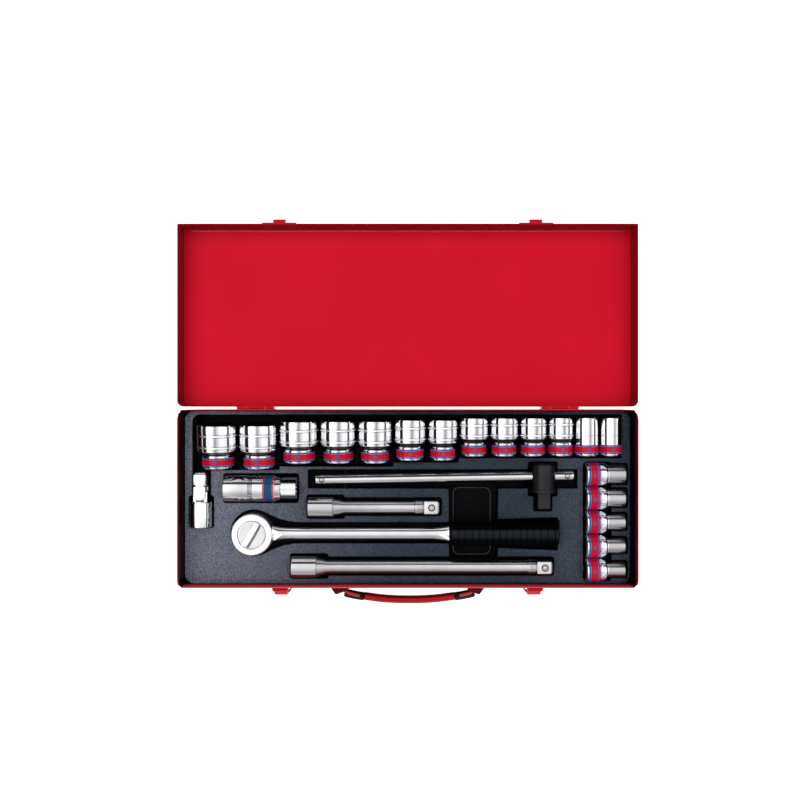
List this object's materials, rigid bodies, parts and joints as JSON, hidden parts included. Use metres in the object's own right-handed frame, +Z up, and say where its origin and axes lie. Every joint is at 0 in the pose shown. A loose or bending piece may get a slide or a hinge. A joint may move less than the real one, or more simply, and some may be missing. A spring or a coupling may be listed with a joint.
{
  "type": "socket wrench set in case",
  "caption": "Hinged steel tool case with a moulded tray that holds sockets, a ratchet, extension bars, a sliding T bar, a universal joint and a spark plug socket.",
  "frame": {"origin": "centre of the underside of the case's base", "axes": "+X along the case to the right, +Y from the carrying handle towards the hinges and the open lid, +Z up"},
  "size_m": [0.4368, 0.3727, 0.0467],
  "materials": {
    "red_paint": "gloss",
    "tray_plastic": "matte",
    "chrome": "polished",
    "satin_steel": "satin",
    "black_steel": "satin",
    "rubber": "matte",
    "plain_steel": "satin",
    "red_enamel": "gloss",
    "blue_enamel": "gloss"
  },
  "bodies": {
    "case": {"base_shell": "red_paint", "tray_insert": "tray_plastic", "hinge_leaf_base_left": "red_paint", "hinge_leaf_base_right": "red_paint", "hinge_pin_left": "plain_steel", "hinge_pin_right": "plain_steel", "latch_plate_left": "red_paint", "latch_plate_right": "red_paint", "handle_bracket_left": "red_paint", "handle_bracket_right": "red_paint"},
    "lid": {"lid_shell": "red_paint", "hinge_leaf_lid_left": "red_paint", "hinge_leaf_lid_right": "red_paint", "catch_left": "red_paint", "catch_right": "red_paint"},
    "latch_lever_left": {"latch_lever_left": "red_paint"},
    "latch_loop_left": {"latch_loop_left": "plain_steel"},
    "latch_lever_right": {"latch_lever_right": "red_paint"},
    "latch_loop_right": {"latch_loop_right": "plain_steel"},
    "handle": {"carrying_handle": "red_paint"},
    "socket_28": {"socket_28": "chrome"},
    "socket_27": {"socket_27": "chrome"},
    "socket_26": {"socket_26": "chrome"},
    "socket_24": {"socket_24": "chrome"},
    "socket_23": {"socket_23": "chrome"},
    "socket_22": {"socket_22": "chrome"},
    "socket_21": {"socket_21": "chrome"},
    "socket_20": {"socket_20": "chrome"},
    "socket_19": {"socket_19": "chrome"},
    "socket_18": {"socket_18": "chrome"},
    "socket_17": {"socket_17": "chrome"},
    "socket_16": {"socket_16": "chrome"},
    "socket_15": {"socket_15": "chrome"},
    "socket_14": {"socket_14": "chrome"},
    "socket_13": {"socket_13": "chrome"},
    "socket_12": {"socket_12": "chrome"},
    "socket_11": {"socket_11": "chrome"},
    "socket_10": {"socket_10": "chrome"},
    "spark_plug_socket": {"spark_plug_socket": "chrome", "spark_plug_holder": "rubber"},
    "t_bar": {"t_bar_rod": "chrome"},
    "t_bar_slider": {"t_bar_slider": "black_steel"},
    "extension_short": {"extension_short": "satin_steel"},
    "detent_ball_short": {"detent_ball_short": "plain_steel"},
    "extension_long": {"extension_long": "satin_steel"},
    "detent_ball_long": {"detent_ball_long": "plain_steel"},
    "universal_joint": {"joint_socket_yoke": "chrome"},
    "joint_cross": {"joint_cross": "plain_steel"},
    "joint_drive_yoke": {"joint_drive_yoke": "satin_steel"},
    "ratchet": {"ratchet_body": "satin_steel", "ratchet_grip": "rubber"},
    "ratchet_dial": {"ratchet_dial": "satin_steel"},
    "ratchet_anvil": {"ratchet_anvil": "chrome"}
  },
  "joints": [
    {"name": "lid_hinge", "type": "hinge", "parent": "case", "child": "lid", "pos_m": [0, 0.0872, 0.0343], "axis": [-1, 0, 0], "range_deg": [-180, 0]},
    {"name": "latch_lever_left_hinge", "type": "hinge", "parent": "case", "child": "latch_lever_left", "pos_m": [-0.122, -0.0883, 0.027], "axis": [-1, 0, 0], "range_deg": [0, 110]},
    {"name": "latch_loop_left_hinge", "type": "hinge", "parent": "latch_lever_left", "child": "latch_loop_left", "pos_m": [-0.122, -0.0915, 0.02], "axis": [1, 0, 0], "range_deg": [-188, 0]},
    {"name": "latch_lever_right_hinge", "type": "hinge", "parent": "case", "child": "latch_lever_right", "pos_m": [0.122, -0.0883, 0.027], "axis": [-1, 0, 0], "range_deg": [0, 110]},
    {"name": "latch_loop_right_hinge", "type": "hinge", "parent": "latch_lever_right", "child": "latch_loop_right", "pos_m": [0.122, -0.0915, 0.02], "axis": [1, 0, 0], "range_deg": [-188, 0]},
    {"name": "handle_hinge", "type": "hinge", "parent": "case", "child": "handle", "pos_m": [0, -0.089, 0.0175], "axis": [-1, 0, 0], "range_deg": [-46, 118]},
    {"name": "socket_28_lift", "type": "slide", "parent": "case", "child": "socket_28", "axis": [0, 0, 1], "range_m": [0, 0.06]},
    {"name": "socket_27_lift", "type": "slide", "parent": "case", "child": "socket_27", "axis": [0, 0, 1], "range_m": [0, 0.06]},
    {"name": "socket_26_lift", "type": "slide", "parent": "case", "child": "socket_26", "axis": [0, 0, 1], "range_m": [0, 0.06]},
    {"name": "socket_24_lift", "type": "slide", "parent": "case", "child": "socket_24", "axis": [0, 0, 1], "range_m": [0, 0.06]},
    {"name": "socket_23_lift", "type": "slide", "parent": "case", "child": "socket_23", "axis": [0, 0, 1], "range_m": [0, 0.06]},
    {"name": "socket_22_lift", "type": "slide", "parent": "case", "child": "socket_22", "axis": [0, 0, 1], "range_m": [0, 0.06]},
    {"name": "socket_21_lift", "type": "slide", "parent": "case", "child": "socket_21", "axis": [0, 0, 1], "range_m": [0, 0.06]},
    {"name": "socket_20_lift", "type": "slide", "parent": "case", "child": "socket_20", "axis": [0, 0, 1], "range_m": [0, 0.06]},
    {"name": "socket_19_lift", "type": "slide", "parent": "case", "child": "socket_19", "axis": [0, 0, 1], "range_m": [0, 0.06]},
    {"name": "socket_18_lift", "type": "slide", "parent": "case", "child": "socket_18", "axis": [0, 0, 1], "range_m": [0, 0.06]},
    {"name": "socket_17_lift", "type": "slide", "parent": "case", "child": "socket_17", "axis": [0, 0, 1], "range_m": [0, 0.06]},
    {"name": "socket_16_lift", "type": "slide", "parent": "case", "child": "socket_16", "axis": [0, 0, 1], "range_m": [0, 0.06]},
    {"name": "socket_15_lift", "type": "slide", "parent": "case", "child": "socket_15", "axis": [0, 0, 1], "range_m": [0, 0.06]},
    {"name": "socket_14_lift", "type": "slide", "parent": "case", "child": "socket_14", "axis": [0, 0, 1], "range_m": [0, 0.06]},
    {"name": "socket_13_lift", "type": "slide", "parent": "case", "child": "socket_13", "axis": [0, 0, 1], "range_m": [0, 0.06]},
    {"name": "socket_12_lift", "type": "slide", "parent": "case", "child": "socket_12", "axis": [0, 0, 1], "range_m": [0, 0.06]},
    {"name": "socket_11_lift", "type": "slide", "parent": "case", "child": "socket_11", "axis": [0, 0, 1], "range_m": [0, 0.06]},
    {"name": "socket_10_lift", "type": "slide", "parent": "case", "child": "socket_10", "axis": [0, 0, 1], "range_m": [0, 0.06]},
    {"name": "spark_plug_socket_lift", "type": "slide", "parent": "case", "child": "spark_plug_socket", "axis": [0, 0, 1], "range_m": [0, 0.06]},
    {"name": "t_bar_lift", "type": "slide", "parent": "case", "child": "t_bar", "axis": [0, 0, 1], "range_m": [0, 0.06]},
    {"name": "extension_short_lift", "type": "slide", "parent": "case", "child": "extension_short", "axis": [0, 0, 1], "range_m": [0, 0.06]},
    {"name": "extension_long_lift", "type": "slide", "parent": "case", "child": "extension_long", "axis": [0, 0, 1], "range_m": [0, 0.06]},
    {"name": "universal_joint_lift", "type": "slide", "parent": "case", "child": "universal_joint", "axis": [0, 0, 1], "range_m": [0, 0.06]},
    {"name": "ratchet_lift", "type": "slide", "parent": "case", "child": "ratchet", "axis": [0, 0, 1], "range_m": [0, 0.06]},
    {"name": "t_bar_slider_slide", "type": "slide", "parent": "t_bar", "child": "t_bar_slider", "axis": [0.9999, 0.0154, 0], "range_m": [-0.0024, 0.0024]},
    {"name": "detent_ball_short_press", "type": "slide", "parent": "extension_short", "child": "detent_ball_short", "axis": [0, 0, -1], "range_m": [0, 0.0008]},
    {"name": "detent_ball_long_press", "type": "slide", "parent": "extension_long", "child": "detent_ball_long", "axis": [0, 0, -1], "range_m": [0, 0.0008]},
    {"name": "joint_cross_hinge", "type": "hinge", "parent": "universal_joint", "child": "joint_cross", "pos_m": [-0.1986, 0.0035, 0.025], "axis": [1, 0, 0], "range_deg": [0, 30]},
    {"name": "joint_drive_yoke_hinge", "type": "hinge", "parent": "joint_cross", "child": "joint_drive_yoke", "pos_m": [-0.1986, 0.0035, 0.025], "axis": [0, 0, 1], "range_deg": [-6, 6]},
    {"name": "ratchet_dial_turn", "type": "hinge", "parent": "ratchet", "child": "ratchet_dial", "pos_m": [-0.1481, -0.0342, 0.036], "axis": [0, 0, 1], "range_deg": [0, 60]},
    {"name": "ratchet_anvil_spin", "type": "hinge", "parent": "ratchet", "child": "ratchet_anvil", "pos_m": [-0.1481, -0.0342, 0.016], "axis": [0, 0, 1], "continuous": true}
  ]
}
